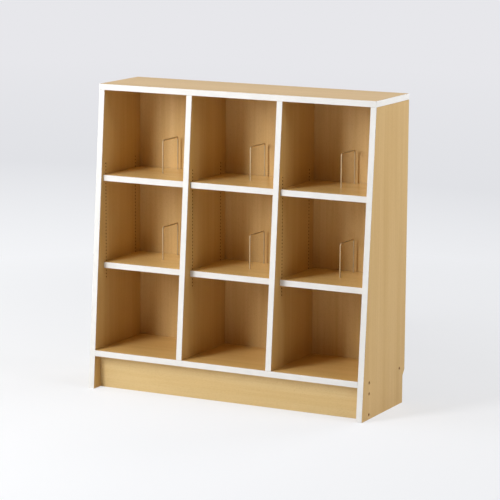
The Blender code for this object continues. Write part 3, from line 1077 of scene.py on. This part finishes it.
@dataclass
class FurnitureScrew:
    """A bronzed furniture screw with a six-sided socket and a coarse thread."""

    node: str
    side: Side
    head_diameter: float = 0.009
    head_height: float = 0.003
    head_round: float = 0.0007
    socket_flats: int = 6
    socket_across: float = 0.0045
    socket_depth: float = 0.002
    shank_diameter: float = 0.005
    core_diameter: float = 0.0041
    plain_shank: float = 0.010
    thread_pitch: float = 0.004
    thread_steps: int = 6
    crest_phase: float = 0.5
    crest_half_width: float = 0.25
    point: float = 0.003
    tip_diameter: float = 0.001
    sides: int = 48

    def socket_ring(self, height: float) -> Ring:
        """Lay a ring of points round the socket's six flats.

        Args:
            height: Where the ring lies.

        Returns:
            The ring.
        """
        flat = math.tau / self.socket_flats
        ring = []
        for side in range(self.sides):
            turn = math.tau * side / self.sides
            reach = self.socket_across / 2 / math.cos(turn % flat - flat / 2)
            ring.append(Vector((reach * math.cos(turn), reach * math.sin(turn), height)))
        return ring

    def thread_ring(self, height: float) -> Ring:
        """Lay a ring across the thread, whose crest winds round with the height.

        Args:
            height: Where the ring lies.

        Returns:
            The ring.
        """
        core = self.core_diameter / 2
        crest = self.shank_diameter / 2 - core
        ring = []
        for side in range(self.sides):
            turn = math.tau * side / self.sides
            phase = (height / self.thread_pitch + turn / math.tau) % 1
            reach = core + crest * max(0.0, 1 - abs(phase - self.crest_phase) / self.crest_half_width)
            ring.append(Vector((reach * math.cos(turn), reach * math.sin(turn), height)))
        return ring

    def build(self, length: float) -> bmesh.types.BMesh:
        """Build a screw along Z, with the face of its head up, at the origin.

        Args:
            length: Its length over all.

        Returns:
            The shape.
        """
        head = self.head_diameter / 2
        shank = self.shank_diameter / 2
        thread_start = -self.head_height - self.plain_shank
        thread_end = self.point - length
        step = self.thread_pitch / self.thread_steps
        turns = int((thread_start - thread_end) / step)
        rings = [self.socket_ring(-self.socket_depth), self.socket_ring(0)]
        rings += turned_rings(rounded_end(head, 0, self.head_round, 1), self.sides)
        rings += turned_rings([(head, -self.head_height), (shank, -self.head_height)], self.sides)
        rings += turned_rings([(shank, thread_start)], self.sides)
        rings += [self.thread_ring(thread_start - step * turn) for turn in range(1, turns)]
        rings += turned_rings([(self.core_diameter / 2, thread_end)], self.sides)
        rings += turned_rings([(self.tip_diameter / 2, -length)], self.sides)
        bm = bmesh.new()
        skin(bm, rings)
        return bm

    def dress(self) -> None:
        """Build the screw and put it in the place of its solid."""
        low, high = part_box(self.node)
        middle = (low + high) / 2
        outer_x = high.x if self.side is Side.RIGHT else low.x
        matrix = along_x(Vector((outer_x, middle.y, middle.z)), self.side.value)
        mesh = smooth_mesh(self.build(high.x - low.x), f"bronzed_{self.node}")
        piece = place_mesh(mesh, f"bronzed_{self.node}", matrix)
        finish_piece(piece, BRONZED_STEEL, "carcass", self.node)


@dataclass
class Carcass:
    """Everything that is fixed together: boards, edge bands, backs, pins and screws."""

    uprights: tuple[str, ...] = ("side_left", "divider_left", "divider_right", "side_right")
    level_boards: tuple[str, ...] = ("top_panel", "bottom_panel")
    kick: str = "kick_plate"
    edge_bands: tuple[str, ...] = (
        "top_edge_front", "top_edge_left", "top_edge_right", "side_edge_left", "side_edge_right",
        "divider_edge_left", "divider_edge_right", "bottom_edge",
    )
    screw_seats: tuple[str, ...] = ("kick_low", "kick_high", "bottom_front", "bottom_rear")

    def dress(self) -> None:
        """Dress the boards, and add the finer uprights, pins and screws."""
        for board in self.level_boards:
            coat(board, LEVEL_LAMINATE)
        coat(self.kick, LIT_KICK_LAMINATE)
        for bay in Bay:
            coat(f"back_panel_{bay.value}", PRINTED_BACK)
        for band in self.edge_bands:
            coat(band, WHITE_EDGING)
        for name in self.uprights:
            Upright(name).dress()
            for level in Level:
                for column in Column:
                    ShelfPin(name, level, column).dress()
        for side in Side:
            for seat in self.screw_seats:
                FurnitureScrew(f"screw_{side.name.lower()}_{seat}", side).dress()


@dataclass
class LiftOutShelf:
    """One lift-out shelf with its edge band and its bookend."""

    level: Level
    bay: Bay

    def dress(self) -> None:
        """Dress the board and its band, and add the finer wire."""
        label = f"{self.level.value}_{self.bay.value}"
        # The shelf board takes the lighter copy of the laminate, which is painted light.
        coat(f"shelf_{label}", LIT_SHELF_LAMINATE)
        coat(f"shelf_edge_{label}", WHITE_EDGING)
        Bookend(label).dress()


def seen_rays(bench: NodeBench) -> bpy.types.NodeSocket:
    """Return the output that is 1 for what the camera, a reflection or glass shows.

    Args:
        bench: The tree to work on.

    Returns:
        The output with the mask.
    """
    rays = bench.add("ShaderNodeLightPath")
    mirrored = bench.math("MAXIMUM", rays.outputs["Is Glossy Ray"], rays.outputs["Is Transmission Ray"])
    return bench.math("MAXIMUM", rays.outputs["Is Camera Ray"], mirrored)


@dataclass(frozen=True)
class PaleFloor(Finish):
    """A seamless pale floor with a painted pool of light, greying with distance from a point to the front
    left, and lifted towards white for the eye alone.
    """

    name: str = "pale_floor"
    # Painted light: near, middle and far paint a pool of light round a point to the front left, greying with
    # distance.
    near: Colour = display(252, 253, 255)
    middle: Colour = display(225, 226, 230)
    far: Colour = display(231, 231, 235)
    light_pool_centre: Triple = (-1.6, -0.9, 0.0)
    near_reach: float = 1.3
    middle_reach: float = 5.0
    far_reach: float = 10.0
    lift_centre: Triple = (0.0, 0.0, 0.0)
    near_lift: float = 0.6
    far_lift: float = 1.0
    lift_start: float = 0.8
    lift_full: float = 2.4

    def shade(self, bench: NodeBench) -> bpy.types.NodeSocket:
        """Mix a lit floor with a plain glow that only the camera and reflections see.

        Args:
            bench: The material's tree to work on.

        Returns:
            The shader output.
        """
        place = bench.add("ShaderNodeNewGeometry").outputs["Position"]
        reach = bench.distance(place, self.lift_centre)
        # Painted pool of light: the floor is palest near a point to the front left and greys away from it.
        pool = bench.distance(place, self.light_pool_centre)
        greying = bench.remap(pool, self.near_reach, self.middle_reach)
        clearing = bench.remap(pool, self.middle_reach, self.far_reach)
        colour = bench.mix(clearing, bench.mix(greying, self.near, self.middle), self.far)
        lit = bench.add("ShaderNodeBsdfDiffuse")
        glow = bench.add("ShaderNodeEmission")
        bench.feed(lit.inputs["Color"], colour)
        bench.feed(glow.inputs["Color"], colour)
        lift = bench.remap(reach, self.lift_start, self.lift_full, self.near_lift, self.far_lift)
        blend = bench.add("ShaderNodeMixShader")
        bench.feed(blend.inputs["Fac"], bench.math("MULTIPLY", lift, seen_rays(bench)))
        bench.feed(blend.inputs[1], lit.outputs[0])
        bench.feed(blend.inputs[2], glow.outputs[0])
        return blend.outputs[0]


@dataclass(frozen=True)
class Lamp:
    """A flat soft lamp that shines at the bookcase from a bearing and a height angle.

    Bearings are in degrees from straight in front, and positive to the right.
    """

    name: str
    bearing: float
    elevation: float
    distance: float
    width: float
    height: float
    power: float

    def hang(self, target: Vector) -> None:
        """Hang the lamp and point it.

        Args:
            target: The point that it shines at.
        """
        bearing = math.radians(self.bearing)
        elevation = math.radians(self.elevation)
        level = math.cos(elevation)
        towards = Vector((math.sin(bearing) * level, -math.cos(bearing) * level, math.sin(elevation)))
        light = bpy.data.lights.new(self.name, "AREA")
        light.shape = "RECTANGLE"
        light.size = self.width
        light.size_y = self.height
        light.energy = self.power
        lamp = bpy.data.objects.new(self.name, light)
        bpy.context.scene.collection.objects.link(lamp)
        lamp.location = target + self.distance * towards
        lamp.rotation_euler = towards.to_track_quat("Z", "Y").to_euler()
        lamp.visible_camera = False


@dataclass
class Studio:
    """The floor, the light and the camera."""

    lamps: tuple[Lamp, ...] = (
        Lamp("key", bearing=-26.0, elevation=29.0, distance=3.2, width=0.9, height=2.0, power=73.0),
        Lamp("fill", bearing=-55.0, elevation=20.0, distance=3.2, width=1.6, height=1.6, power=12.0),
        Lamp("side", bearing=88.0, elevation=28.0, distance=3.0, width=1.6, height=1.6, power=41.0),
        Lamp("overhead", bearing=-75.0, elevation=68.0, distance=3.0, width=1.3, height=1.3, power=14.0),
        Lamp("rear", bearing=150.0, elevation=25.0, distance=3.0, width=1.6, height=1.6, power=32.0),
        Lamp("left", bearing=262.0, elevation=20.0, distance=3.0, width=1.6, height=1.6, power=12.0),
    )
    floor_radius: float = 60.0
    floor_sides: int = 96
    floor_drop: float = 0.0002
    daylight: Colour = (1.0, 1.0, 1.0)
    daylight_strength: float = 0.01
    horizon: Colour = PaleFloor.far
    camera_place: Vector = field(default_factory=lambda: Vector((3.2022, -6.2126, 1.6767)))
    camera_yaw: float = 27.161
    camera_pitch: float = -10.099
    camera_roll: float = 0.351
    lens: float = 175.8
    sensor: float = 36.0

    def lay_floor(self) -> None:
        """Lay a round floor, out to where the eye can't tell its edge."""
        bm = bmesh.new()
        ring = turned_rings([(self.floor_radius, -self.floor_drop)], self.floor_sides)[0]
        bm.faces.new([bm.verts.new(point) for point in ring])
        floor = place_mesh(smooth_mesh(bm, "floor"), "floor")
        floor.data.materials.append(PaleFloor().material())

    def fill_with_daylight(self) -> None:
        """Light the room evenly, and show the pale horizon past the floor."""
        world = bpy.data.worlds.new("studio_air")
        bpy.context.scene.world = world
        world.use_nodes = True
        world.node_tree.nodes.clear()
        bench = NodeBench(world.node_tree)
        even = bench.add("ShaderNodeBackground")
        bench.feed(even.inputs["Color"], self.daylight)
        bench.feed(even.inputs["Strength"], self.daylight_strength)
        shown = bench.add("ShaderNodeBackground")
        bench.feed(shown.inputs["Color"], self.horizon)
        blend = bench.add("ShaderNodeMixShader")
        bench.feed(blend.inputs["Fac"], seen_rays(bench))
        bench.feed(blend.inputs[1], even.outputs[0])
        bench.feed(blend.inputs[2], shown.outputs[0])
        output = bench.add("ShaderNodeOutputWorld")
        bench.feed(output.inputs["Surface"], blend.outputs[0])

    def set_camera(self) -> None:
        """Stand the camera where the photograph was taken."""
        data = bpy.data.cameras.new("camera")
        data.lens = self.lens
        data.sensor_width = self.sensor
        camera = bpy.data.objects.new(data.name, data)
        bpy.context.scene.collection.objects.link(camera)
        bpy.context.scene.camera = camera
        camera.location = self.camera_place
        yaw = Matrix.Rotation(math.radians(self.camera_yaw), 4, "Z")
        # A camera looks straight down until it is tilted up by a quarter turn
        tilt = Matrix.Rotation(math.pi / 2 + math.radians(self.camera_pitch), 4, "X")
        roll = Matrix.Rotation(math.radians(self.camera_roll), 4, "Z")
        camera.rotation_euler = (yaw @ tilt @ roll).to_euler()

    def set_up(self) -> None:
        """Set up floor, light and camera."""
        self.lay_floor()
        self.fill_with_daylight()
        low, high = CAD_BOX
        for lamp in self.lamps:
            lamp.hang((low + high) / 2)
        self.set_camera()
        bpy.context.scene.view_settings.view_transform = "Standard"


def main() -> None:
    """Dress the bookcase and set up the studio."""
    logging.basicConfig(level=logging.INFO, format="%(name)s: %(message)s")
    Carcass().dress()
    for level in Level:
        for bay in Bay:
            LiftOutShelf(level, bay).dress()
    Studio().set_up()


if __name__ == "__main__":
    main()
